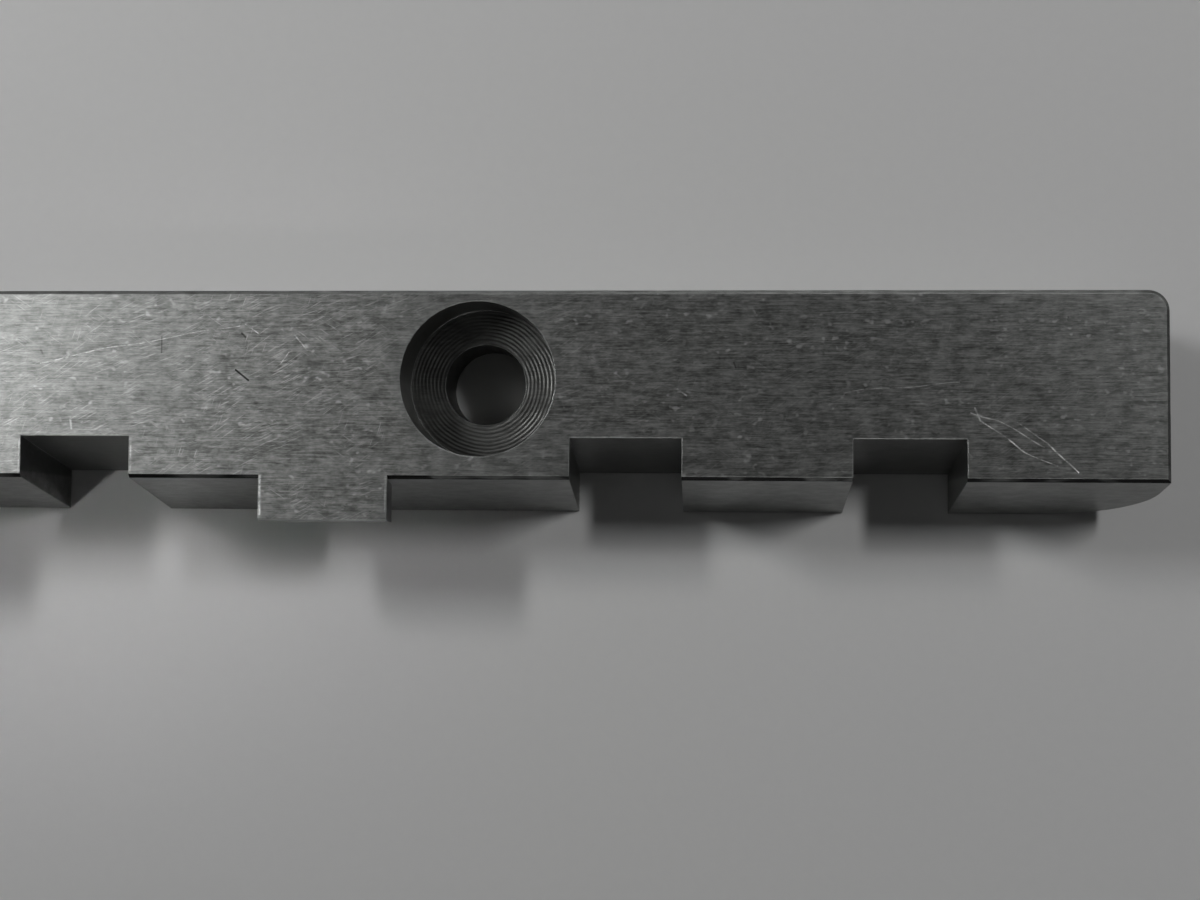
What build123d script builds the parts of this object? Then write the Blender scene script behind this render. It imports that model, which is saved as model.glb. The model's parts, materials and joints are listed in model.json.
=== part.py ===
from build123d import *
import math
import os

# Rack and pinion drive: a machined rack bar that slides through a guided base past a pinion
# on a vertical shaft. Millimetres, +Z up.
# The origin is the pitch point, where the rack's pitch line meets the pinion's pitch circle,
# dropped onto the mounting plane. The rack travels along X and the pinion turns about Z.

# Gearing
MODULE = 1.0
PRESSURE_ANGLE = math.radians(20.0)
PINION_TEETH = 20
BACKLASH = 0.12            # play along the pitch line, shared by the rack and the pinion
TOOTH_PITCH = math.pi * MODULE
PITCH_RADIUS = MODULE * PINION_TEETH / 2
ADDENDUM = MODULE
DEDENDUM = 1.25 * MODULE
RACK_SPACES = 16           # tooth spaces cut into the bar, so 15 whole teeth
TRAVEL = 15.0              # rack stroke each way from the middle

# Base plate
PLATE_LENGTH = 73.0
PLATE_WIDTH = 60.0
PLATE_THICKNESS = 2.0
PLATE_CORNER = 5.0
MOUNT_HOLE_X = 31.0
MOUNT_HOLE_Y = 25.5
MOUNT_HOLE_RADIUS = 2.25   # clearance for M4

# Rack bar: the guided stretch is toothed and relieved below, to run over the base plate. The
# free end carries the index gaps and keeps its full height, down to the bed.
SLIDE_GAP = 0.05           # running clearance of the sliding faces
BAR_LEFT = -53.0
BAR_RIGHT = 118.0
BAR_FRONT = -ADDENDUM      # the tooth tips are the front face of the stock
BAR_BACK = 11.5
BAR_HEIGHT = 8.0
BAR_BOTTOM = SLIDE_GAP
BAR_TOP = BAR_BOTTOM + BAR_HEIGHT
GUIDED_BOTTOM = PLATE_THICKNESS + SLIDE_GAP
STEP_CLEARANCE = 0.5       # from the plate to the step, at the end of the stroke
STEP_START = PLATE_LENGTH / 2 + TRAVEL + STEP_CLEARANCE   # the underside steps down here
RELIEF_START = 50.0        # from here to the right end the front face is cut back and slopes
LIP_Y = 1.5                # front edge of the top face along the sloping part
FLANK_SLOPE = math.tan(math.radians(10.8))
EDGE_BREAK = 0.2
GAP_WIDTH = 6.0
GAP_DEPTH = 2.06
GAP_CENTRES = (59.4, 89.35, 104.42)
TAB_CENTRE = 73.04
TAB_WIDTH = 7.0
TAB_REACH = 2.4
TAB_THICKNESS = 1.6
SCREW_HOLE_X = 81.36
SCREW_HOLE_Y = 6.71
SCREW_HOLE_RADIUS = 2.25   # clearance for M4
COUNTERBORE_RADIUS = 4.2
COUNTERBORE_DEPTH = 3.8
END_BOTTOM_ROUND = 5.3
END_CORNER_ROUND = 1.1
LEFT_END_CHAMFER = 0.6

# Guides
BLOCK_START = 20.0         # distance of each front guide block from the pinion's centre plane
BLOCK_END = 34.0
BLOCK_FRONT = -9.0
BLOCK_TOP = BAR_TOP + 0.10
CAP_START = 22.0
CAP_END = 32.0
CAP_THICKNESS = 3.0
GIB_THICKNESS = 1.5
GIB_FRONT = BAR_BACK + 0.04
GIB_BACK = GIB_FRONT + GIB_THICKNESS
RAIL_FRONT = GIB_BACK + 0.20
RAIL_BACK = RAIL_FRONT + 8.0
GIB_SCREW_X = (-20.0, 0.0, 20.0)
GIB_SCREW_Z = (GUIDED_BOTTOM + BAR_TOP) / 2
FRONT_SCREW_Y = -5.0
REAR_SCREW_Y = 17.2
CAP_SCREW_X = 27.0
BLOCK_SCREW_X = (22.5, 31.5)
RAIL_SCREW_X = (-31.5, -9.0, 9.0, 31.5)
DOWEL_X = 14.0
GUIDE_CHAMFER = 0.6
STOP_PIN_RADIUS = 1.5
STOP_PIN_DEPTH = 5.0       # how deep each pin is pressed in
STOP_PIN_PROUD = 3.4
STOP_PIN_X = CAP_END + TRAVEL + STOP_PIN_RADIUS + 0.1
STOP_PIN_Y = 5.25

# Pinion, shaft and bearings
SHAFT_X = 0.0
SHAFT_Y = -PITCH_RADIUS
SHAFT_RADIUS = 2.5
SHAFT_BOTTOM = 0.4
SHAFT_TOP = 32.0
FLAT_DEPTH = 0.4
FREE_FLAT_START = 26.5
BUSH_BORE = SHAFT_RADIUS + 0.02
BUSH_RADIUS = 3.5
BUSH_FLANGE_RADIUS = 5.0
LOWER_FLANGE = 0.8
UPPER_FLANGE = 1.0
PINION_BOTTOM = 3.15
PINION_WIDTH = 5.0
HUB_RADIUS = 6.0
HUB_TOP = 13.9
SET_SCREW_Z = 11.5
RING_Z = 19.47
RING_THICKNESS = 0.6
RING_GROOVE_RADIUS = 2.1

# Bridge over the pinion
BRIDGE_BOTTOM = 14.0
BRIDGE_THICKNESS = 4.0
BRIDGE_TOP = BRIDGE_BOTTOM + BRIDGE_THICKNESS
BRIDGE_HALF_LENGTH = 21.0
BRIDGE_HALF_WIDTH = 5.5
POST_X = 16.0
POST_ACROSS_FLATS = 7.0

# M3 fasteners
THREAD_RADIUS = 1.45
TAPPED_RADIUS = 1.5
BASE_TAP_DEPTH = 4.5        # tapped up into the blocks, posts and rail
CAP_TAP_DEPTH = 6.0         # tapped down for the cap screws
BRIDGE_TAP_DEPTH = 5.5
CLEARANCE_RADIUS = 1.7
CAP_HEAD_RADIUS = 2.75
CAP_HEAD_HEIGHT = 3.0
CAP_SCREW_LENGTH = 8.0
SUNK_HEAD_RADIUS = 2.9
SUNK_HEAD_HEIGHT = 1.55
SUNK_SCREW_TOP = 5.0
NUT_ACROSS_FLATS = 5.5
NUT_HEIGHT = 2.4
DOWEL_RADIUS = 1.5


def block(x0, x1, y0, y1, z0, z1):
    """Box between two corners."""
    return Pos((x0 + x1) / 2, (y0 + y1) / 2, (z0 + z1) / 2) * Box(x1 - x0, y1 - y0, z1 - z0)


def rod(x, y, z0, z1, radius):
    """Upright cylinder from z0 to z1."""
    return Pos(x, y, (z0 + z1) / 2) * Cylinder(radius, z1 - z0)


def cone(x, y, z0, z1, low_radius, high_radius):
    """Upright cone frustum from z0 to z1."""
    return Pos(x, y, (z0 + z1) / 2) * Cone(low_radius, high_radius, z1 - z0)


def hexagon(x, y, z0, z1, across_flats, turn=0.0):
    """Upright hexagonal prism from z0 to z1."""
    profile = RegularPolygon(across_flats / 2, 6, major_radius=False, rotation=turn)
    return Pos(x, y, z0) * extrude(profile, z1 - z0)


def along_x(points, x0, x1):
    """Prism along X over a closed outline given as (y, z) points."""
    wire = Polyline(*[(x0, y, z) for y, z in points], close=True)
    return extrude(make_face(wire), x1 - x0, dir=(1, 0, 0))


def rack_tooth_space(x):
    """Straight-sided tooth space of the basic rack, cut through the bar's full height."""
    half_width = TOOTH_PITCH / 4 + BACKLASH / 4
    mouth = half_width + ADDENDUM * math.tan(PRESSURE_ANGLE)
    floor = half_width - DEDENDUM * math.tan(PRESSURE_ANGLE)
    outer = mouth + math.tan(PRESSURE_ANGLE)
    outline = Polyline(
        (x - outer, BAR_FRONT - 1.0), (x - floor, DEDENDUM), (x + floor, DEDENDUM),
        (x + outer, BAR_FRONT - 1.0), close=True)
    return Pos(0, 0, BAR_BOTTOM - 1.0) * extrude(make_face(outline), BAR_HEIGHT + 2.0)


def sloping_relief():
    """What is milled off the front of the bar right of RELIEF_START, leaving the thin tab."""
    foot = LIP_Y - EDGE_BREAK - (BAR_HEIGHT - EDGE_BREAK) * FLANK_SLOPE
    clear = BAR_FRONT - 2.0
    cut = along_x(
        [(clear, BAR_BOTTOM - 1.0), (foot, BAR_BOTTOM - 1.0), (foot, BAR_BOTTOM),
         (LIP_Y - EDGE_BREAK, BAR_TOP - EDGE_BREAK), (LIP_Y, BAR_TOP),
         (LIP_Y, BAR_TOP + 1.0), (clear, BAR_TOP + 1.0)],
        RELIEF_START, BAR_RIGHT + 1.0)
    tab_front = LIP_Y - TAB_REACH
    tab = along_x(
        [(LIP_Y + 1.0, BAR_TOP), (tab_front, BAR_TOP),
         (tab_front - TAB_THICKNESS * FLANK_SLOPE, BAR_TOP - TAB_THICKNESS),
         (LIP_Y + 1.0, BAR_TOP - TAB_THICKNESS)],
        TAB_CENTRE - TAB_WIDTH / 2, TAB_CENTRE + TAB_WIDTH / 2)
    return cut - tab


def index_gap(x):
    """Square-sided gap through the bar's height, its root parallel to the sloping front."""
    root_top = LIP_Y + GAP_DEPTH
    root_bottom = root_top - BAR_HEIGHT * FLANK_SLOPE
    return along_x(
        [(BAR_FRONT - 2.0, BAR_BOTTOM - 1.0), (root_bottom - FLANK_SLOPE, BAR_BOTTOM - 1.0),
         (root_top + FLANK_SLOPE, BAR_TOP + 1.0), (BAR_FRONT - 2.0, BAR_TOP + 1.0)],
        x - GAP_WIDTH / 2, x + GAP_WIDTH / 2)


def rack_bar():
    bar = block(BAR_LEFT, BAR_RIGHT, BAR_FRONT, BAR_BACK, BAR_BOTTOM, BAR_TOP)
    bar = bar - block(BAR_LEFT - 1.0, STEP_START, BAR_FRONT - 1.0, BAR_BACK + 1.0,
                      BAR_BOTTOM - 1.0, GUIDED_BOTTOM)
    end_edges = bar.edges().filter_by(Axis.Y).group_by(Axis.X)[-1]
    bar = fillet(end_edges.sort_by(Axis.Z)[0], END_BOTTOM_ROUND)
    end_corners = bar.edges().filter_by(Axis.Z).group_by(Axis.X)[-1]
    bar = fillet(end_corners.sort_by(Axis.Y)[-1], END_CORNER_ROUND)
    bar = chamfer(bar.faces().sort_by(Axis.X)[0].edges(), LEFT_END_CHAMFER)
    back_edges = bar.edges().filter_by(Axis.X).filter_by_position(Axis.Z, BAR_TOP - 0.01, BAR_TOP + 0.01)
    bar = chamfer(back_edges.sort_by(Axis.Y)[-1], EDGE_BREAK)
    first = -(RACK_SPACES - 1) / 2 * TOOTH_PITCH
    cuts = [rack_tooth_space(first + n * TOOTH_PITCH) for n in range(RACK_SPACES)]
    cuts.append(sloping_relief())
    cuts += [index_gap(x) for x in GAP_CENTRES]
    cuts.append(rod(SCREW_HOLE_X, SCREW_HOLE_Y, BAR_BOTTOM - 1.0, BAR_TOP + 1.0, SCREW_HOLE_RADIUS))
    cuts.append(rod(SCREW_HOLE_X, SCREW_HOLE_Y, BAR_TOP - COUNTERBORE_DEPTH, BAR_TOP + 1.0,
                    COUNTERBORE_RADIUS))
    for x in (-STOP_PIN_X, STOP_PIN_X):
        cuts.append(rod(x, STOP_PIN_Y, BAR_TOP - STOP_PIN_DEPTH, BAR_TOP + 1.0,
                        STOP_PIN_RADIUS))
    for cut in cuts:
        bar = bar - cut
    return bar


def stop_pins():
    """Pins pressed into the rack's top face. They meet the guide caps at the stroke's ends."""
    pin = rod(0, STOP_PIN_Y, BAR_TOP - STOP_PIN_DEPTH, BAR_TOP + STOP_PIN_PROUD, STOP_PIN_RADIUS)
    pin = chamfer(pin.edges().sort_by(Axis.Z)[-1], 0.3)
    return Compound(children=[Pos(x, 0, 0) * pin for x in (-STOP_PIN_X, STOP_PIN_X)])


def involute_point(radius, centre_angle, side):
    """Point of the tooth flank at a radius, for a tooth centred on centre_angle."""
    base_radius = PITCH_RADIUS * math.cos(PRESSURE_ANGLE)
    pressure = math.acos(min(1.0, base_radius / radius))
    half_tooth = (TOOTH_PITCH / 2 - BACKLASH / 2) / 2 / PITCH_RADIUS
    pitch_involute = math.tan(PRESSURE_ANGLE) - PRESSURE_ANGLE
    offset = half_tooth + pitch_involute - (math.tan(pressure) - pressure)
    angle = centre_angle + side * offset
    return (radius * math.cos(angle), radius * math.sin(angle))


def pinion_tooth(centre_angle):
    """Face of one tooth, from inside the root circle to its tip arc."""
    base_radius = PITCH_RADIUS * math.cos(PRESSURE_ANGLE)
    tip_radius = PITCH_RADIUS + ADDENDUM
    radii = [base_radius + (tip_radius - base_radius) * n / 4 for n in range(5)]
    left = [involute_point(radius, centre_angle, 1) for radius in radii]
    right = [involute_point(radius, centre_angle, -1) for radius in radii]
    inner = (PITCH_RADIUS - DEDENDUM - 0.4) / base_radius
    left_root = (left[0][0] * inner, left[0][1] * inner)
    right_root = (right[0][0] * inner, right[0][1] * inner)
    tip_middle = (tip_radius * math.cos(centre_angle), tip_radius * math.sin(centre_angle))
    outline = [
        Line(right_root, right[0]), Spline(*right), ThreePointArc(right[-1], tip_middle, left[-1]),
        Spline(*reversed(left)), Line(left[0], left_root), Line(left_root, right_root)]
    return make_face(Curve() + outline)


def pinion():
    """Spur pinion with a tooth space facing the rack, and a hub with a cross hole."""
    step = 2 * math.pi / PINION_TEETH
    profile = Circle(PITCH_RADIUS - DEDENDUM)
    for n in range(PINION_TEETH):
        profile = profile + pinion_tooth(math.pi / 2 + (n + 0.5) * step)
    gear = Pos(SHAFT_X, SHAFT_Y, PINION_BOTTOM) * extrude(profile, PINION_WIDTH)
    hub = rod(SHAFT_X, SHAFT_Y, PINION_BOTTOM + PINION_WIDTH - 0.5, HUB_TOP, HUB_RADIUS)
    hub = chamfer(hub.edges().sort_by(Axis.Z)[-1], 0.5)
    gear = gear + hub - rod(SHAFT_X, SHAFT_Y, PINION_BOTTOM - 1.0, HUB_TOP + 1.0, SHAFT_RADIUS + 0.005)
    cross_hole = Pos(SHAFT_X, SHAFT_Y - HUB_RADIUS / 2 - 1.0, SET_SCREW_Z) * Rot(90, 0, 0) * Cylinder(
        TAPPED_RADIUS, HUB_RADIUS + 2.0)
    return gear - cross_hole


def hub_set_screw():
    """Grub screw in the hub, its tip on the shaft's flat."""
    tip = SHAFT_RADIUS - FLAT_DEPTH
    length = HUB_RADIUS - 0.3 - tip
    screw = Cylinder(THREAD_RADIUS, length) - Pos(0, 0, length / 2 - 1.5) * extrude(
        RegularPolygon(0.75, 6, major_radius=False), 1.6)
    screw = chamfer(screw.edges().sort_by(Axis.Z)[0], 0.25)
    return Pos(SHAFT_X, SHAFT_Y - tip - length / 2, SET_SCREW_Z) * Rot(90, 0, 0) * screw


def pinion_shaft():
    """Shaft with flats for the set screw and for what drives its free upper end."""
    shaft = rod(SHAFT_X, SHAFT_Y, SHAFT_BOTTOM, SHAFT_TOP, SHAFT_RADIUS)
    shaft = chamfer(shaft.edges().filter_by(GeomType.CIRCLE), 0.35)
    flat_y = SHAFT_Y - SHAFT_RADIUS + FLAT_DEPTH
    shaft = shaft - block(-4, 4, flat_y - 3, flat_y, SET_SCREW_Z - 1.7, SET_SCREW_Z + 1.7)
    shaft = shaft - block(-4, 4, flat_y - 3, flat_y, FREE_FLAT_START, SHAFT_TOP + 1)
    groove_top = RING_Z + RING_THICKNESS + 0.05
    groove = rod(SHAFT_X, SHAFT_Y, RING_Z - 0.05, groove_top, SHAFT_RADIUS + 1)
    groove = groove - rod(SHAFT_X, SHAFT_Y, RING_Z - 0.05, groove_top, RING_GROOVE_RADIUS)
    return shaft - groove


def washer(z0, z1):
    disc = rod(SHAFT_X, SHAFT_Y, z0, z1, BUSH_FLANGE_RADIUS - 0.2)
    return disc - rod(SHAFT_X, SHAFT_Y, z0 - 1, z1 + 1, SHAFT_RADIUS + 0.1)


def thrust_washers():
    """One under the pinion and one under the retaining ring."""
    lower_seat = PLATE_THICKNESS + LOWER_FLANGE
    upper_seat = BRIDGE_TOP + UPPER_FLANGE
    return Compound(children=[
        washer(lower_seat + 0.02, PINION_BOTTOM - 0.02),
        washer(upper_seat + 0.02, RING_Z - 0.02)])


def retaining_ring():
    """E-clip: an open ring with three inner lobes in the shaft's groove."""
    ring = rod(SHAFT_X, SHAFT_Y, RING_Z, RING_Z + RING_THICKNESS, 4.4)
    ring = ring - rod(SHAFT_X, SHAFT_Y, RING_Z - 1, RING_Z + 2, 3.2)
    lobe_inner = RING_GROOVE_RADIUS + 0.02
    lobes = rod(SHAFT_X, SHAFT_Y, RING_Z, RING_Z + RING_THICKNESS, 3.4)
    lobes = lobes - rod(SHAFT_X, SHAFT_Y, RING_Z - 1, RING_Z + 2, lobe_inner)
    for turn in (30, 150, 270):
        wedge = Pos(SHAFT_X, SHAFT_Y, RING_Z) * Rot(0, 0, turn) * Pos(3.2, 0, 0) * Box(6.4, 2.2, 3)
        ring = ring + (lobes & wedge)
    mouth = block(-1.6, 1.6, SHAFT_Y + 0.5, SHAFT_Y + 6, RING_Z - 1, RING_Z + 2)
    return ring - mouth


def flanged_bush(z_bottom, z_flange, z_top):
    bush = rod(SHAFT_X, SHAFT_Y, z_bottom, z_flange, BUSH_RADIUS)
    bush = bush + rod(SHAFT_X, SHAFT_Y, z_flange, z_top, BUSH_FLANGE_RADIUS)
    return bush - rod(SHAFT_X, SHAFT_Y, z_bottom - 1, z_top + 1, BUSH_BORE)


def lower_bush():
    return flanged_bush(0.2, PLATE_THICKNESS, PLATE_THICKNESS + LOWER_FLANGE)


def upper_bush():
    return flanged_bush(BRIDGE_BOTTOM, BRIDGE_TOP, BRIDGE_TOP + UPPER_FLANGE)


def sunk_screw_places():
    """Where the countersunk screws come up through the plate."""
    places = [(side * POST_X, SHAFT_Y) for side in (-1, 1)]
    places += [(side * x, FRONT_SCREW_Y) for side in (-1, 1) for x in BLOCK_SCREW_X]
    places += [(x, REAR_SCREW_Y) for x in RAIL_SCREW_X]
    return places


def base_plate():
    """Ground steel plate with four mounting holes, the bearing hole and the fixing holes."""
    plate = block(-PLATE_LENGTH / 2, PLATE_LENGTH / 2, -PLATE_WIDTH / 2, PLATE_WIDTH / 2,
                  0, PLATE_THICKNESS)
    plate = fillet(plate.edges().filter_by(Axis.Z), PLATE_CORNER)
    plate = chamfer(plate.faces().sort_by(Axis.Z)[-1].edges(), 0.3)
    for x in (-MOUNT_HOLE_X, MOUNT_HOLE_X):
        for y in (-MOUNT_HOLE_Y, MOUNT_HOLE_Y):
            plate = plate - rod(x, y, -1, PLATE_THICKNESS + 1, MOUNT_HOLE_RADIUS)
    for x, y in sunk_screw_places():
        plate = plate - rod(x, y, -1, PLATE_THICKNESS + 1, TAPPED_RADIUS + 0.1)
        plate = plate - cone(x, y, 0, SUNK_HEAD_HEIGHT, SUNK_HEAD_RADIUS + 0.1, TAPPED_RADIUS + 0.1)
    plate = plate - rod(SHAFT_X, SHAFT_Y, -1, PLATE_THICKNESS + 1, BUSH_RADIUS)
    for x in (-DOWEL_X, DOWEL_X):
        plate = plate - rod(x, REAR_SCREW_Y, -1, PLATE_THICKNESS + 1, DOWEL_RADIUS)
    return plate


def base_screws():
    """Countersunk screws, heads flush in the plate's underside."""
    head = cone(0, 0, 0.05, SUNK_HEAD_HEIGHT, SUNK_HEAD_RADIUS, THREAD_RADIUS)
    screw = head + rod(0, 0, SUNK_HEAD_HEIGHT, SUNK_SCREW_TOP, THREAD_RADIUS)
    screw = screw - hexagon(0, 0, -0.5, 0.95, 2.0)
    return Compound(children=[Pos(x, y, 0) * screw for x, y in sunk_screw_places()])


def dowel_pins():
    """Dowels that fix the rear rail's place on the plate."""
    return Compound(children=[
        rod(x, REAR_SCREW_Y, 0.2, 6.0, DOWEL_RADIUS) for x in (-DOWEL_X, DOWEL_X)])


def guide_block(side):
    """Front guide: its rear face bears on the rack's tooth tips."""
    guide = block(BLOCK_START, BLOCK_END, BLOCK_FRONT, BAR_FRONT - SLIDE_GAP, PLATE_THICKNESS, BLOCK_TOP)
    guide = chamfer(guide.edges().filter_by(Axis.Z), GUIDE_CHAMFER)
    guide = guide - rod(CAP_SCREW_X, FRONT_SCREW_Y, BLOCK_TOP - CAP_TAP_DEPTH, BLOCK_TOP + 1, TAPPED_RADIUS)
    for x in BLOCK_SCREW_X:
        guide = guide - rod(x, FRONT_SCREW_Y, 0, PLATE_THICKNESS + BASE_TAP_DEPTH, TAPPED_RADIUS)
    return guide if side > 0 else guide.mirror(Plane.YZ)


def rear_rail():
    """Rail behind the rack, tapped for the gib's adjusting screws."""
    rail = block(-BLOCK_END, BLOCK_END, RAIL_FRONT, RAIL_BACK, PLATE_THICKNESS, BLOCK_TOP)
    rail = chamfer(rail.edges().filter_by(Axis.Z), GUIDE_CHAMFER)
    rail = chamfer(rail.edges().filter_by(Axis.X).sort_by(Axis.Z)[-2:].sort_by(Axis.Y)[-1], GUIDE_CHAMFER)
    for x in RAIL_SCREW_X:
        rail = rail - rod(x, REAR_SCREW_Y, 0, PLATE_THICKNESS + BASE_TAP_DEPTH, TAPPED_RADIUS)
    for x in (-DOWEL_X, DOWEL_X):
        rail = rail - rod(x, REAR_SCREW_Y, 0, 6.5, DOWEL_RADIUS)
    for x in (-CAP_SCREW_X, CAP_SCREW_X):
        rail = rail - rod(x, REAR_SCREW_Y, BLOCK_TOP - CAP_TAP_DEPTH, BLOCK_TOP + 1, TAPPED_RADIUS)
    for x in GIB_SCREW_X:
        rail = rail - Pos(x, (RAIL_FRONT + RAIL_BACK) / 2, GIB_SCREW_Z) * Rot(90, 0, 0) * Cylinder(
            TAPPED_RADIUS, RAIL_BACK - RAIL_FRONT + 2)
    return rail


def gib_strip():
    """Bronze strip between the rail and the rack's back, dimpled for the screw points."""
    strip = block(-BLOCK_END, BLOCK_END, GIB_FRONT, GIB_BACK, PLATE_THICKNESS + 0.05, BAR_TOP)
    for x in GIB_SCREW_X:
        strip = strip - Pos(x, GIB_BACK, GIB_SCREW_Z) * Rot(90, 0, 0) * Cylinder(1.05, 1.0)
    return strip


def gib_screws():
    """Set screws with a dog point in the strip's dimples and a socket at the rear."""
    body = rod(0, 0, 0.3, 12.0, THREAD_RADIUS) + rod(0, 0, -0.5, 0.3, 1.0)
    body = body - hexagon(0, 0, 10.2, 12.5, 1.5)
    body = chamfer(body.edges().sort_by(Axis.Z)[0], 0.2)
    return Compound(children=[
        Pos(x, GIB_BACK, GIB_SCREW_Z) * Rot(-90, 0, 0) * body for x in GIB_SCREW_X])


def gib_lock_nuts():
    nut = hexagon(0, 0, 0, NUT_HEIGHT, NUT_ACROSS_FLATS)
    nut = nut & cone(0, 0, 0, NUT_HEIGHT, 3.0 + NUT_HEIGHT, 3.0)
    nut = nut - rod(0, 0, -1, NUT_HEIGHT + 1, TAPPED_RADIUS)
    return Compound(children=[
        Pos(x, RAIL_BACK, GIB_SCREW_Z) * Rot(-90, 0, 0) * nut for x in GIB_SCREW_X])


def guide_cap(side):
    """Strap across the top of the rack, from the front block to the rear rail."""
    cap = block(CAP_START, CAP_END, BLOCK_FRONT, RAIL_BACK, BLOCK_TOP, BLOCK_TOP + CAP_THICKNESS)
    cap = fillet(cap.edges().filter_by(Axis.Z), 2.0)
    cap = chamfer(cap.faces().sort_by(Axis.Z)[-1].edges(), 0.5)
    for y in (FRONT_SCREW_Y, REAR_SCREW_Y):
        cap = cap - rod(CAP_SCREW_X, y, BLOCK_TOP - 1, BLOCK_TOP + CAP_THICKNESS + 1, CLEARANCE_RADIUS)
    return cap if side > 0 else cap.mirror(Plane.YZ)


def socket_screw(x, y, seat):
    """M3 socket head cap screw seated at a height."""
    head = rod(0, 0, 0, CAP_HEAD_HEIGHT, CAP_HEAD_RADIUS)
    head = chamfer(head.edges().sort_by(Axis.Z)[-1], 0.3)
    screw = head + rod(0, 0, -CAP_SCREW_LENGTH, 0, THREAD_RADIUS)
    screw = screw - hexagon(0, 0, CAP_HEAD_HEIGHT - 1.5, CAP_HEAD_HEIGHT + 1, 2.5)
    return Pos(x, y, seat) * screw


def cap_screws():
    seat = BLOCK_TOP + CAP_THICKNESS
    return Compound(children=[
        socket_screw(x, y, seat)
        for x in (-CAP_SCREW_X, CAP_SCREW_X) for y in (FRONT_SCREW_Y, REAR_SCREW_Y)])


def bridge_posts():
    """Hexagonal standoffs, tapped at both ends."""
    posts = []
    for x in (-POST_X, POST_X):
        post = hexagon(x, SHAFT_Y, PLATE_THICKNESS, BRIDGE_BOTTOM, POST_ACROSS_FLATS, 30)
        post = post - rod(x, SHAFT_Y, 0, PLATE_THICKNESS + BASE_TAP_DEPTH, TAPPED_RADIUS)
        post = post - rod(x, SHAFT_Y, BRIDGE_BOTTOM - BRIDGE_TAP_DEPTH, BRIDGE_BOTTOM + 1, TAPPED_RADIUS)
        posts.append(post)
    return Compound(children=posts)


def bridge_plate():
    """Round-ended bar over the pinion that carries the upper bush."""
    outline = SlotOverall(2 * BRIDGE_HALF_LENGTH, 2 * BRIDGE_HALF_WIDTH)
    bridge = Pos(SHAFT_X, SHAFT_Y, BRIDGE_BOTTOM) * extrude(outline, BRIDGE_THICKNESS)
    bridge = chamfer(bridge.faces().sort_by(Axis.Z)[-1].edges(), 0.5)
    bridge = bridge - rod(SHAFT_X, SHAFT_Y, BRIDGE_BOTTOM - 1, BRIDGE_TOP + 1, BUSH_RADIUS)
    for x in (-POST_X, POST_X):
        bridge = bridge - rod(x, SHAFT_Y, BRIDGE_BOTTOM - 1, BRIDGE_TOP + 1, CLEARANCE_RADIUS)
    return bridge


def bridge_screws():
    return Compound(children=[socket_screw(x, SHAFT_Y, BRIDGE_TOP) for x in (-POST_X, POST_X)])


PARTS = {
    "base_plate": base_plate(),
    "rack_bar": rack_bar(),
    "stop_pins": stop_pins(),
    "pinion": pinion(),
    "pinion_shaft": pinion_shaft(),
    "hub_set_screw": hub_set_screw(),
    "thrust_washers": thrust_washers(),
    "retaining_ring": retaining_ring(),
    "lower_bush": lower_bush(),
    "upper_bush": upper_bush(),
    "bridge_plate": bridge_plate(),
    "bridge_posts": bridge_posts(),
    "bridge_screws": bridge_screws(),
    "guide_block_left": guide_block(-1),
    "guide_block_right": guide_block(1),
    "rear_rail": rear_rail(),
    "gib_strip": gib_strip(),
    "gib_screws": gib_screws(),
    "gib_lock_nuts": gib_lock_nuts(),
    "guide_cap_left": guide_cap(-1),
    "guide_cap_right": guide_cap(1),
    "cap_screws": cap_screws(),
    "base_screws": base_screws(),
    "dowel_pins": dowel_pins(),
}

os.makedirs("parts", exist_ok=True)
for name, shape in PARTS.items():
    export_step(shape, f"parts/{name}.step")
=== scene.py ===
import json
import math

import bpy
from mathutils import Euler, Matrix, Vector


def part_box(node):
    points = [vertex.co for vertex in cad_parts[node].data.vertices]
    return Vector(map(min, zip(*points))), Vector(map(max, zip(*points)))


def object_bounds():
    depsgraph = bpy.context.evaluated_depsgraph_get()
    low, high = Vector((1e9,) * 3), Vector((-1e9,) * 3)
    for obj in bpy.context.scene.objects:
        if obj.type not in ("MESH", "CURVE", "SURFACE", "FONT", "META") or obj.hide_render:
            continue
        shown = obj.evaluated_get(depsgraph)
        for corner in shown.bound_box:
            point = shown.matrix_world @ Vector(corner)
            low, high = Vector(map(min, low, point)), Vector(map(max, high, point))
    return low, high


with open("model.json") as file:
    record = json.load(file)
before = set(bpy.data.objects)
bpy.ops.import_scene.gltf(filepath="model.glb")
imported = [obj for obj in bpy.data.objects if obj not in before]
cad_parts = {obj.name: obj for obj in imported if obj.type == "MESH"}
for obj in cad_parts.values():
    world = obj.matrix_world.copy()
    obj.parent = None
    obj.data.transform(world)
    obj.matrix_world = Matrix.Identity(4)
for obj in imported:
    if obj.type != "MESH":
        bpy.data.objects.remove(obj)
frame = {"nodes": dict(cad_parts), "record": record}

CAD_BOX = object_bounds()
MM = 0.001
NODES = frame["nodes"]
MOUNTS = {mount["name"]: mount for mount in frame["record"]["mounts"]}

BAR_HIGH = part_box("rack_bar")[1]

# The values of this block are in millimetres.
BAR_TOP = BAR_HIGH.z / MM
BAR_BACK = BAR_HIGH.y / MM
BAR_END = BAR_HIGH.x / MM
SCREW_HOLE = [value / MM for value in MOUNTS["rack_screw_hole"]["pos_m"]]
TOP_WIDTH = 10.0           # the bar's top face, from its back edge to the front lip
COUNTERBORE_RADIUS = 4.2
RING_PITCH = 0.21          # from one turned ring of the counterbore to the next
SCRATCHES_RISE = 28.0      # fine scratches are faint up to here, measured from the bar's end
SCRATCHES_FULL = 50.0      # and at their strongest from here on


# ---------------------------------------------------------------- node helpers

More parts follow.
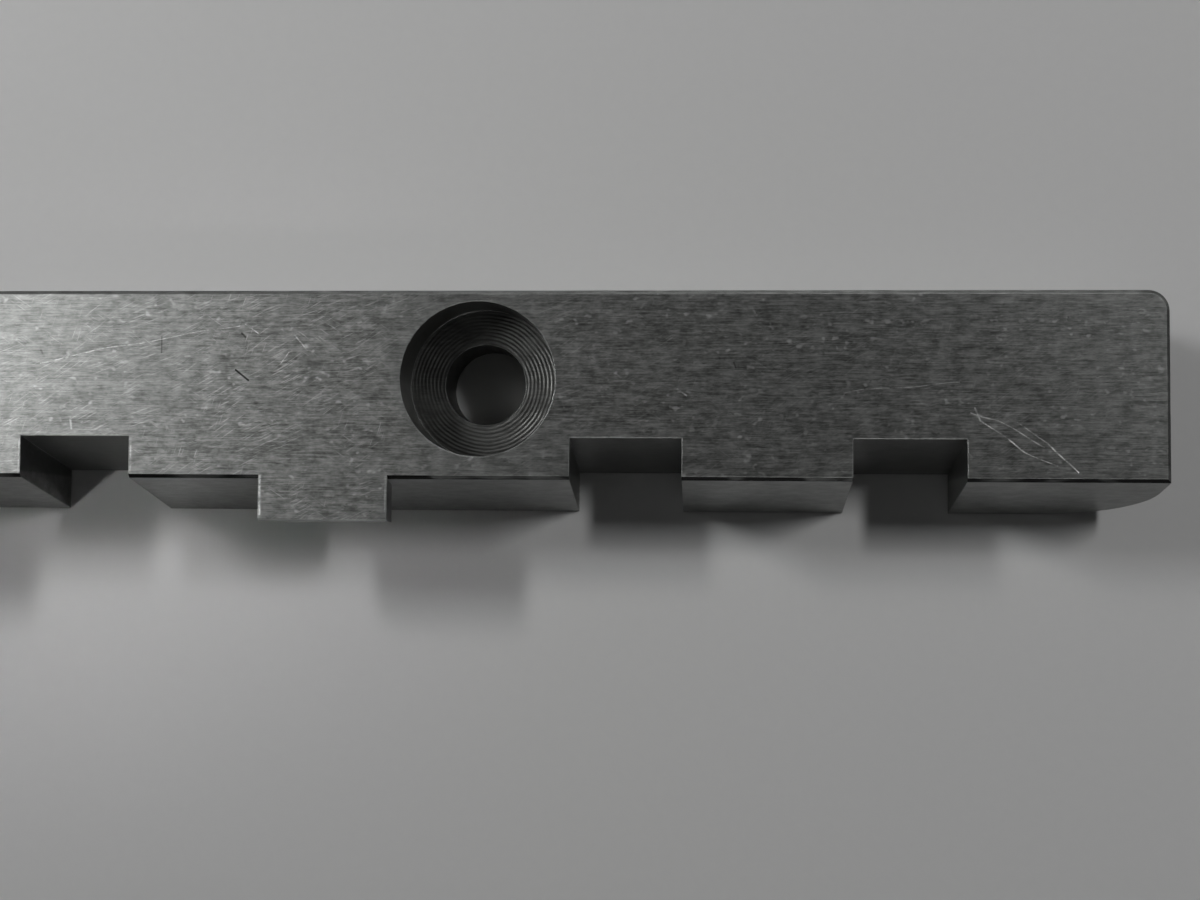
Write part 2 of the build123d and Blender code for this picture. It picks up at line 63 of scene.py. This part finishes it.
class Graph:
    """A short way to write a material's nodes. Values are numbers, tuples or sockets."""

    def __init__(self, name):
        self.material = bpy.data.materials.new(name)
        self.material.use_nodes = True
        self.tree = self.material.node_tree
        self.shader = self.tree.nodes["Principled BSDF"]
        coordinates = self.add("ShaderNodeTexCoord")
        self.place = self.vector("SCALE", coordinates.outputs["Object"], scale=1 / MM)
        self.normal = coordinates.outputs["Normal"]

    def add(self, kind, **settings):
        node = self.tree.nodes.new(kind)
        for key, value in settings.items():
            setattr(node, key, value)
        return node

    def put(self, socket, value):
        if isinstance(value, bpy.types.NodeSocket):
            self.tree.links.new(value, socket)
        else:
            socket.default_value = value

    def math(self, operation, a, b=0.0, c=0.0, clamp=False):
        node = self.add("ShaderNodeMath", operation=operation, use_clamp=clamp)
        for socket, value in zip(node.inputs, (a, b, c)):
            self.put(socket, value)
        return node.outputs[0]

    def vector(self, operation, a, b=(0.0, 0.0, 0.0), scale=1.0):
        node = self.add("ShaderNodeVectorMath", operation=operation)
        self.put(node.inputs[0], a)
        self.put(node.inputs[1], b)
        if operation == "SCALE":
            node.inputs["Scale"].default_value = scale
        name = "Value" if operation in ("DOT_PRODUCT", "DISTANCE") else "Vector"
        return node.outputs[name]

    def split(self, vector):
        node = self.add("ShaderNodeSeparateXYZ")
        self.put(node.inputs[0], vector)
        return node.outputs

    def noise(self, stretch, detail=2.0, roughness=0.5, place=None, distortion=0.0):
        """Noise of about one cell per millimetre, times stretch along each axis."""
        scaled = self.vector("MULTIPLY", self.place if place is None else place, stretch)
        node = self.add("ShaderNodeTexNoise")
        self.put(node.inputs["Vector"], scaled)
        node.inputs["Scale"].default_value = 1.0
        node.inputs["Detail"].default_value = detail
        node.inputs["Roughness"].default_value = roughness
        node.inputs["Distortion"].default_value = distortion
        return node.outputs["Fac"]

    def ramp(self, value, low, high, out_low=0.0, out_high=1.0):
        """Smooth step from out_low at low to out_high at high."""
        node = self.add("ShaderNodeMapRange", interpolation_type="SMOOTHSTEP")
        for name, number in (("Value", value), ("From Min", low), ("From Max", high),
                             ("To Min", out_low), ("To Max", out_high)):
            self.put(node.inputs[name], number)
        return node.outputs["Result"]

    def blend(self, factor, a, b):
        node = self.add("ShaderNodeMix", data_type="RGBA", clamp_factor=True)
        self.put(node.inputs[0], factor)
        for socket, value in ((node.inputs[6], a), (node.inputs[7], b)):
            self.put(socket, value if isinstance(value, bpy.types.NodeSocket) else (*value, 1.0))
        return node.outputs[2]

    def bump(self, height, micrometres, radius=0.0):
        """Bump of a height from 0 to 1, over edges rounded by a small radius."""
        node = self.add("ShaderNodeBump")
        node.inputs["Strength"].default_value = 1.0
        node.inputs["Distance"].default_value = micrometres * MM * MM
        self.put(node.inputs["Height"], height)
        if radius:
            edge = self.add("ShaderNodeBevel", samples=4)
            edge.inputs["Radius"].default_value = radius * MM
            self.put(node.inputs["Normal"], edge.outputs["Normal"])
        self.put(self.shader.inputs["Normal"], node.outputs["Normal"])

    def edge_wear(self, radius):
        """1 along sharp edges, 0 on faces: where a rounded normal leaves the true one."""
        edge = self.add("ShaderNodeBevel", samples=4)
        edge.inputs["Radius"].default_value = radius * MM
        true = self.add("ShaderNodeNewGeometry").outputs["True Normal"]
        facing = self.vector("DOT_PRODUCT", edge.outputs["Normal"], true)
        return self.ramp(facing, 0.985, 0.80)

    def finish(self, colour, roughness, metallic=1.0):
        self.put(self.shader.inputs["Base Color"], colour)
        self.put(self.shader.inputs["Roughness"], roughness)
        self.shader.inputs["Metallic"].default_value = metallic
        return self.material


# ---------------------------------------------------------------- rack bar steel

# Single bright scratches and burrs on the top face: start and end, each as millimetres from the
# bar's end and from its back edge, then the mark's width and how bright it is.
GOUGES = (
    ((10.4, 6.5), (9.0, 6.9), 0.055, 0.40),
    ((9.0, 6.9), (6.6, 8.3), 0.045, 0.34),
    ((10.2, 6.2), (9.9, 6.9), 0.070, 0.42),
    ((9.9, 6.9), (7.6, 8.6), 0.050, 0.60),
    ((7.6, 8.6), (5.9, 9.4), 0.040, 0.52),
    ((8.0, 7.0), (6.4, 8.1), 0.040, 0.30),
    ((6.4, 8.1), (4.8, 9.9), 0.055, 0.60),
    ((17.5, 5.6), (11.0, 4.9), 0.035, 0.35),
    ((25.9, 5.2), (25.4, 5.6), 0.060, 0.45),
    ((22.0, 0.9), (21.7, 1.4), 0.090, 0.30),
    ((29.9, 0.3), (29.2, 0.1), 0.070, 0.45),
    ((60.6, 3.9), (55.5, 3.0), 0.040, 0.38),
    ((55.5, 3.0), (49.6, 1.9), 0.035, 0.42),
    ((58.9, 6.9), (58.8, 7.6), 0.090, 0.28),
    ((48.38, 10.1), (48.38, 12.2), 0.090, 0.55),
    ((41.55, 10.2), (41.55, 12.2), 0.050, 0.22),
    ((55.50, 8.1), (55.50, 9.9), 0.070, 0.32),
    ((61.70, 8.3), (61.70, 9.9), 0.060, 0.25),
    ((49.3, 1.8), (48.6, 2.3), 0.040, 0.40),
    ((46.6, 2.5), (45.9, 3.4), 0.050, 0.45),
    ((47.4, 4.1), (46.9, 3.4), 0.040, 0.35),
)

# Dark nicks on the top face, in the same way.
NICKS = (
    ((49.8, 4.35), (49.1, 4.85), 0.075, 0.9),
    ((53.9, 2.6), (53.9, 3.4), 0.060, 0.5),
    ((49.5, 2.3), (49.3, 2.5), 0.090, 0.6),
    ((60.6, 3.1), (60.5, 3.3), 0.080, 0.4),
    ((22.9, 3.9), (22.8, 4.2), 0.070, 0.4),
)

# Layers of fine scratches: how far their coordinates are turned, in degrees, the noise's stretch
# along and across them, the noise value where a scratch begins, and the stretch of the patches
# that they lie in.
SCRATCHES = (
    (-20, (0.60, 12.0, 1.0), 0.560, (0.30, 0.42, 0.4)),
    (-28, (0.75, 13.0, 1.0), 0.570, (0.45, 0.36, 0.4)),
    (-36, (0.65, 12.0, 1.0), 0.580, (0.37, 0.30, 0.4)),
    (34, (0.80, 12.0, 1.0), 0.620, (0.34, 0.50, 0.4)),
    (-72, (0.90, 13.0, 1.0), 0.630, (0.28, 0.38, 0.4)),
)


def mark_mask(g, flat, start, end, width, strength):
    """A mark's strength along its middle, falling to 0 at its sides."""
    a = Vector((BAR_END - start[0], BAR_BACK - start[1], 0.0))
    b = Vector((BAR_END - end[0], BAR_BACK - end[1], 0.0))
    run = b - a
    offset = g.vector("SUBTRACT", flat, tuple(a))
    along = g.vector("DOT_PRODUCT", offset, tuple(run / run.length_squared))
    nearest = g.math("MULTIPLY", along, 1.0, clamp=True)
    place = g.add("ShaderNodeVectorMath", operation="SCALE")
    place.inputs[0].default_value = run
    g.put(place.inputs["Scale"], nearest)
    distance = g.vector("DISTANCE", offset, place.outputs["Vector"])
    return g.ramp(distance, width, width * 0.2, 0.0, strength)


def strongest(g, masks):
    """The largest of several masks at each point."""
    result = masks[0]
    for mask in masks[1:]:
        result = g.math("MAXIMUM", result, mask)
    return result


def scratch_layer(g, angle, stretch, threshold, patch):
    """Fine short scratches that run at one angle, gathered in patches."""
    turned = g.add("ShaderNodeVectorRotate", rotation_type="Z_AXIS")
    g.put(turned.inputs["Vector"], g.place)
    turned.inputs["Angle"].default_value = math.radians(angle)
    lines = g.noise(stretch, detail=1.0, place=turned.outputs["Vector"], distortion=0.2)
    patches = g.noise(patch, detail=1.0)
    return g.math("MULTIPLY", g.ramp(lines, threshold, threshold + 0.16), g.ramp(patches, 0.46, 0.68))


def single_marks(g, marks):
    """The marks of a list, bent a little so that none is quite straight."""
    wobble = g.noise((0.22, 0.22, 0.22), detail=1.0)
    bend = g.add("ShaderNodeCombineXYZ")
    g.put(bend.inputs[1], g.math("MULTIPLY_ADD", wobble, 0.9, -0.45))
    flat = g.vector("ADD", g.vector("MULTIPLY", g.place, (1.0, 1.0, 0.0)), bend.outputs[0])
    return strongest(g, [mark_mask(g, flat, *mark) for mark in marks])


def bright_marks(g, x):
    """Handling scratches in crossing patches, single scratches and burrs, and small flecks."""
    scratches = strongest(g, [scratch_layer(g, *layer) for layer in SCRATCHES])
    handled = g.ramp(x, BAR_END - SCRATCHES_RISE, BAR_END - SCRATCHES_FULL, 0.07, 0.19)
    broken = g.ramp(g.noise((2.2, 2.2, 2.2), detail=3.0, roughness=0.7), 0.36, 0.62, 0.10, 1.0)
    flecks = g.ramp(g.noise((2.3, 3.2, 3.2), detail=1.0, roughness=0.5), 0.60, 0.80)
    flecks = g.math("MULTIPLY", flecks, g.ramp(g.noise((0.35, 0.5, 0.5), detail=1.0), 0.36, 0.62))
    return strongest(g, [
        g.math("MULTIPLY", scratches, handled),
        g.math("MULTIPLY", single_marks(g, GOUGES), broken),
        g.math("MULTIPLY", flecks, 0.24)])


def grinding_lines(g):
    """Grain along the bar: crisp fine lines over faint broad bands."""
    lines = g.noise((1.1, 10.0, 10.0), detail=2.0, roughness=0.8)
    hairs = g.noise((0.5, 19.0, 19.0), detail=1.0, roughness=0.6)
    bands = g.noise((0.06, 1.6, 1.6), detail=2.0)
    grain = g.math("ADD", g.math("MULTIPLY", lines, 0.60), g.math("MULTIPLY", hairs, 0.30))
    return g.math("MULTIPLY_ADD", bands, 0.10, grain)


def turned_rings(g, radius):
    """Cutter rings round the screw hole, deeper in some places than in others."""
    uneven = g.math("MULTIPLY_ADD", g.noise((0.5, 0.5, 0.5), detail=1.0), 0.22, radius)
    rings = g.math("SINE", g.math("MULTIPLY", uneven, 2 * math.pi / RING_PITCH))
    depth = g.ramp(g.noise((0.45, 0.45, 0.45), detail=2.0), 0.36, 0.60, 0.16, 0.46)
    return g.math("ADD", g.math("MULTIPLY", rings, depth), g.noise((1.2, 1.2, 1.2), detail=3.0))


def lip_shade_line(g, ny, nz):
    """Painted shade: a dark line in the front edge break, a little uneven."""
    edge = g.math("MULTIPLY", g.ramp(nz, 0.50, 0.60), g.ramp(nz, 0.88, 0.80))
    edge = g.math("MULTIPLY", edge, g.ramp(ny, 0.1, -0.1, 0.35, 1.0))
    uneven = g.ramp(g.noise((0.35, 1.0, 1.0), detail=2.0), 0.34, 0.50, 0.86, 1.0)
    return g.math("MULTIPLY", edge, uneven)


def shaded_gap_walls(g, y, nz, radius):
    """Painted shade: darkens the walls of the index gaps. The counterbore's walls are left out."""
    lip = BAR_BACK - TOP_WIDTH
    wall = g.math("MULTIPLY", g.ramp(y, lip + 0.05, lip + 0.25), g.ramp(nz, 0.4, 0.3))
    wall = g.math("MULTIPLY", wall, g.ramp(y, BAR_BACK - 5.0, BAR_BACK - 6.0))
    return g.math("MULTIPLY", wall, g.ramp(radius, COUNTERBORE_RADIUS, COUNTERBORE_RADIUS + 0.2))


def rack_steel():
    """Ground steel with handling marks, a turned counterbore and painted shade in its gaps,
    counterbore and front edge break.
    """
    g = Graph("rack_steel")
    x, y, z = g.split(g.place)
    ny, nz = g.split(g.normal)[1:]
    on_top = g.math("MULTIPLY", g.ramp(nz, 0.75, 0.95), g.ramp(z, BAR_TOP - 0.15, BAR_TOP - 0.05))
    hole = (SCREW_HOLE[0], SCREW_HOLE[1], 0.0)
    radius = g.vector("DISTANCE", g.vector("MULTIPLY", g.place, (1.0, 1.0, 0.0)), hole)
    in_bore = g.ramp(radius, COUNTERBORE_RADIUS + 0.10, COUNTERBORE_RADIUS + 0.02)
    in_bore = g.math("MULTIPLY", in_bore, g.ramp(z, BAR_TOP - 0.02, BAR_TOP - 0.10))

    grain = grinding_lines(g)
    mottle = g.noise((1.1, 1.5, 1.5), detail=3.0, roughness=0.7)
    pits = g.ramp(g.noise((1.8, 2.8, 2.8), detail=2.0, roughness=0.7), 0.66, 0.74)
    marks = g.math("MULTIPLY", bright_marks(g, x), on_top)
    nicks = g.math("MULTIPLY", single_marks(g, NICKS), on_top)
    wear = g.edge_wear(0.12)

    tone = g.math("ADD", g.math("MULTIPLY", grain, 0.62), g.math("MULTIPLY", mottle, 0.38))
    colour = g.blend(g.ramp(tone, 0.30, 0.70), (0.095, 0.098, 0.094), (0.275, 0.281, 0.273))
    colour = g.blend(g.math("MULTIPLY", pits, 0.35), colour, (0.08, 0.08, 0.078))
    # Painted shade: the inside of the counterbore is darkened.
    colour = g.blend(g.math("MULTIPLY", in_bore, 0.60), colour, (0.10, 0.10, 0.096))
    # Painted shade: the walls of the index gaps are darkened.
    colour = g.blend(g.math("MULTIPLY", shaded_gap_walls(g, y, nz, radius), 0.55), colour, (0.04, 0.04, 0.04))
    colour = g.blend(g.math("MULTIPLY", wear, 0.16), colour, (0.50, 0.51, 0.50))
    colour = g.blend(marks, colour, (0.80, 0.81, 0.80))
    colour = g.blend(nicks, colour, (0.02, 0.02, 0.02))
    # Painted shade: the front edge break is darkened to a near-black line.
    colour = g.blend(lip_shade_line(g, ny, nz), colour, (0.004, 0.004, 0.004))
    roughness = g.math("MULTIPLY_ADD", grain, 0.20, 0.22)
    roughness = g.math("MULTIPLY_ADD", mottle, 0.08, roughness)
    roughness = g.math("ADD", roughness, g.math("MULTIPLY", marks, 0.08))

    height = g.math("MULTIPLY", grain, g.math("SUBTRACT", 1.0, in_bore))
    height = g.math("ADD", height, g.math("MULTIPLY", turned_rings(g, radius), in_bore))
    height = g.math("SUBTRACT", height, g.math("MULTIPLY", marks, 0.8))
    height = g.math("SUBTRACT", height, g.math("MULTIPLY", pits, 0.2))
    g.bump(height, 14.0, 0.08)
    return g.finish(colour, roughness)


# ---------------------------------------------------------------- other metals

def metal(name, dark, light, stretch, roughness, bump_um, spread=0.12, edge=0.10,
          edge_colour=(0.85, 0.85, 0.84), stain=None):
    """Machined metal: streaks along one direction, mottling, stains and worn edges."""
    g = Graph(name)
    fine = g.noise(stretch, detail=3.0, roughness=0.6)
    mottle = g.noise((0.35, 0.35, 0.35), detail=4.0, roughness=0.6)
    speckle = g.ramp(g.noise((3.0, 3.0, 3.0), detail=3.0, roughness=0.7), 0.62, 0.74)
    tone = g.math("ADD", g.math("MULTIPLY", fine, 0.6), g.math("MULTIPLY", mottle, 0.4))
    colour = g.blend(g.ramp(tone, 0.32, 0.68), dark, light)
    stain_colour = stain or tuple(value * 0.55 for value in dark)
    patches = g.ramp(g.noise((0.16, 0.16, 0.16), detail=3.0, roughness=0.55), 0.52, 0.66)
    colour = g.blend(g.math("MULTIPLY", patches, 0.35), colour, stain_colour)
    colour = g.blend(g.math("MULTIPLY", speckle, 0.3), colour, stain_colour)
    wear = g.math("MULTIPLY", g.edge_wear(edge * 1.6), g.ramp(mottle, 0.36, 0.55))
    colour = g.blend(wear, colour, edge_colour)
    rough = g.math("MULTIPLY_ADD", fine, spread, roughness)
    rough = g.math("MULTIPLY_ADD", patches, 0.10, rough)
    rough = g.math("SUBTRACT", rough, g.math("MULTIPLY", wear, 0.10))
    height = g.math("SUBTRACT", fine, g.math("MULTIPLY", speckle, 0.3))
    g.bump(height, bump_um, edge)
    return g.finish(colour, rough)


def black_oxide():
    """Oiled black finish, hazy in places and worn bright along its edges."""
    g = Graph("black_oxide")
    grain = g.noise((6.0, 6.0, 6.0), detail=3.0, roughness=0.6)
    haze = g.noise((0.8, 0.8, 0.8), detail=3.0)
    wear = g.math("MULTIPLY", g.edge_wear(0.16), g.ramp(haze, 0.40, 0.58))
    colour = g.blend(g.ramp(haze, 0.35, 0.65), (0.022, 0.022, 0.024), (0.060, 0.058, 0.058))
    colour = g.blend(g.math("MULTIPLY", wear, 0.8), colour, (0.42, 0.41, 0.40))
    roughness = g.math("MULTIPLY_ADD", grain, 0.16, 0.26)
    g.bump(grain, 6.0, 0.10)
    return g.finish(colour, roughness, metallic=0.85)


def floor_material():
    """Pale matt tabletop."""
    g = Graph("floor")
    broad = g.noise((0.01, 0.01, 0.01), detail=2.0)
    fine = g.noise((1.6, 1.6, 1.6), detail=2.0)
    tone = g.math("ADD", g.math("MULTIPLY", broad, 0.7), g.math("MULTIPLY", fine, 0.3))
    colour = g.blend(tone, (0.60, 0.60, 0.60), (0.66, 0.66, 0.655))
    g.bump(fine, 4.0)
    g.shader.inputs["Specular IOR Level"].default_value = 0.0
    return g.finish(colour, 0.90, metallic=0.0)


MATERIALS = {
    "rack_steel": rack_steel(),
    "plate_steel": metal("plate_steel", (0.36, 0.365, 0.37), (0.58, 0.585, 0.59), (0.30, 14.0, 14.0),
                         0.30, 9.0),
    "strap_steel": metal("strap_steel", (0.40, 0.405, 0.41), (0.64, 0.645, 0.65), (14.0, 0.30, 14.0),
                         0.28, 8.0),
    "guide_steel": metal("guide_steel", (0.24, 0.245, 0.25), (0.42, 0.425, 0.43), (0.40, 10.0, 6.0),
                         0.34, 12.0),
    "gear_steel": metal("gear_steel", (0.38, 0.375, 0.36), (0.60, 0.595, 0.58), (10.0, 10.0, 0.5),
                        0.28, 8.0, stain=(0.20, 0.17, 0.13)),
    "turned_steel": metal("turned_steel", (0.50, 0.505, 0.51), (0.72, 0.725, 0.73), (0.8, 0.8, 22.0),
                          0.18, 6.0, spread=0.10),
    "zinc": metal("zinc", (0.52, 0.54, 0.55), (0.74, 0.76, 0.77), (2.5, 2.5, 2.5), 0.24, 5.0,
                  stain=(0.40, 0.42, 0.40)),
    "blued_spring": metal("blued_spring", (0.035, 0.037, 0.045), (0.10, 0.105, 0.12), (5.0, 5.0, 5.0),
                          0.28, 5.0, edge=0.06, edge_colour=(0.35, 0.35, 0.36)),
    "bronze": metal("bronze", (0.50, 0.30, 0.13), (0.78, 0.54, 0.27), (0.5, 12.0, 12.0), 0.26, 8.0,
                    edge_colour=(0.92, 0.72, 0.42), stain=(0.26, 0.15, 0.07)),
    "black_oxide": black_oxide(),
}

FINISHES = {
    "rack_bar": "rack_steel",
    "base_plate": "plate_steel",
    "bridge_plate": "plate_steel",
    "guide_cap_left": "strap_steel",
    "guide_cap_right": "strap_steel",
    "guide_block_left": "guide_steel",
    "guide_block_right": "guide_steel",
    "rear_rail": "guide_steel",
    "pinion": "gear_steel",
    "pinion_shaft": "turned_steel",
    "stop_pins": "turned_steel",
    "dowel_pins": "turned_steel",
    "thrust_washers": "turned_steel",
    "bridge_posts": "zinc",
    "gib_lock_nuts": "zinc",
    "retaining_ring": "blued_spring",
    "gib_strip": "bronze",
    "lower_bush": "bronze",
    "upper_bush": "bronze",
    "hub_set_screw": "black_oxide",
    "gib_screws": "black_oxide",
    "bridge_screws": "black_oxide",
    "cap_screws": "black_oxide",
    "base_screws": "black_oxide",
}

for node_name, node in NODES.items():
    node.data.materials.clear()
    node.data.materials.append(MATERIALS[FINISHES[node_name]])


# ---------------------------------------------------------------- stage

FLOOR_SIZE = 3.0           # metres
FLOOR_DROP = 0.02          # millimetres below the object, so that no two faces coincide

# The room's brightness: near the horizon, overhead, and for light that has met a matt surface.
# Between the first two it fades over this part of the way up, as the sine of the height angle.
HORIZON, OVERHEAD, BOUNCED = 0.70, 0.03, 0.010
FADE_FROM, FADE_TO = 0.10, 0.72

# The camera: millimetres from the bar's end (at y = 0 and the height of its top), and degrees.
CAMERA_PLACE = Vector((-24.2, -2.4, 95.9))
CAMERA_TURN = (3.187, 3.438, 0.440)
CAMERA_LENS = 54.1

# What the lamps face
FREE_END = (BAR_HIGH.x - 28 * MM, 5 * MM, 0.0)
FIRST_GAP = (BAR_HIGH.x - 58 * MM, 0.0, 0.0)
OBJECT_MIDDLE = (0.03, 0.0, 0.0)


def add_floor():
    """Wide flat floor just under the object."""
    half = FLOOR_SIZE / 2
    corners = [(-half, -half, 0), (half, -half, 0), (half, half, 0), (-half, half, 0)]
    mesh = bpy.data.meshes.new("floor")
    mesh.from_pydata(corners, [], [(0, 1, 2, 3)])
    floor = bpy.data.objects.new("floor", mesh)
    floor.location = (0, 0, CAD_BOX[0][2] - FLOOR_DROP * MM)
    bpy.context.scene.collection.objects.link(floor)
    floor.data.materials.append(floor_material())


def add_softbox(name, target, toward, distance, size, power, diffuse=True, glossy=True, spread=180):
    """Area light that faces a point from a direction. Its size is along world Y as nearly as it
    can be, then across. diffuse says if matt surfaces take its light directly, glossy if metal
    does."""
    light = bpy.data.lights.new(name, "AREA")
    light.shape = "RECTANGLE"
    light.size, light.size_y = size
    light.energy = power
    light.spread = math.radians(spread)
    lamp = bpy.data.objects.new(name, light)
    direction = Vector(toward).normalized()
    lamp.location = Vector(target) + direction * distance
    long_way = (Vector((0, 1, 0)) - direction * direction.y).normalized()
    axes = Matrix((long_way, direction.cross(long_way), direction)).transposed()
    lamp.rotation_euler = axes.to_euler()
    lamp.visible_diffuse = diffuse
    lamp.visible_glossy = glossy
    bpy.context.scene.collection.objects.link(lamp)


def add_world():
    """Dim room: dark overhead, paler towards the horizon, and dimmer still for bounced light."""
    world = bpy.data.worlds.new("room")
    world.use_nodes = True
    tree = world.node_tree
    coordinates = tree.nodes.new("ShaderNodeTexCoord")
    split = tree.nodes.new("ShaderNodeSeparateXYZ")
    tree.links.new(coordinates.outputs["Generated"], split.inputs[0])
    fade = tree.nodes.new("ShaderNodeMapRange")
    fade.interpolation_type = "SMOOTHSTEP"
    fade.inputs["From Min"].default_value = FADE_FROM
    fade.inputs["From Max"].default_value = FADE_TO
    fade.inputs["To Min"].default_value = HORIZON
    fade.inputs["To Max"].default_value = OVERHEAD
    tree.links.new(split.outputs["Z"], fade.inputs["Value"])
    path = tree.nodes.new("ShaderNodeLightPath")
    fill = tree.nodes.new("ShaderNodeMix")
    tree.links.new(path.outputs["Diffuse Depth"], fill.inputs["Factor"])
    tree.links.new(fade.outputs["Result"], fill.inputs[2])
    fill.inputs[3].default_value = BOUNCED
    tree.links.new(fill.outputs[0], tree.nodes["Background"].inputs["Strength"])
    tree.nodes["Background"].inputs["Color"].default_value = (1.0, 1.0, 1.0, 1.0)
    bpy.context.scene.world = world


def add_camera():
    """Close above the bar's free end, looking down and a little back along it."""
    camera = bpy.data.cameras.new("camera")
    camera.sensor_width = 36.0
    camera.lens = CAMERA_LENS
    camera.clip_start = 0.005
    holder = bpy.data.objects.new("camera", camera)
    holder.location = Vector((BAR_HIGH.x, 0.0, BAR_HIGH.z)) + CAMERA_PLACE * MM
    holder.rotation_euler = Euler([math.radians(angle) for angle in CAMERA_TURN])
    bpy.context.scene.collection.objects.link(holder)
    bpy.context.scene.camera = holder


add_floor()
add_world()

# These light matt surfaces, mostly the floor. The metal takes none of their light directly.
add_softbox("key_left", FREE_END, (-0.90, 0.54, 1.0), 0.148, (0.036, 0.010), 0.070, glossy=False)
add_softbox("key_right", FREE_END, (0.66, 0.36, 1.0), 0.25, (0.050, 0.015), 0.165, glossy=False)
add_softbox("room", FREE_END, (-0.80, 0.50, 1.0), 1.60, (0.50, 0.50), 0.8, glossy=False)
add_softbox("low_left", FIRST_GAP, (-0.85, -0.52, 1.0), 0.16, (0.02, 0.02), 0.0003, glossy=False,
            spread=11)

# These light the metal. Their light reaches the floor only by way of the metal.
add_softbox("sheen_left", FREE_END, (-0.90, 0.30, 1.0), 0.40, (0.16, 0.16), 1.0, diffuse=False)
add_softbox("sheen_right", FREE_END, (0.70, 0.40, 1.0), 0.40, (0.10, 0.10), 0.26, diffuse=False)
for name, side in (("sheen_front", -1), ("sheen_back", 1)):
    add_softbox(name, OBJECT_MIDDLE, (0.2, side, 0.42), 0.70, (0.60, 0.30), 1.4, diffuse=False)

add_camera()
bpy.context.scene.view_settings.view_transform = "Standard"
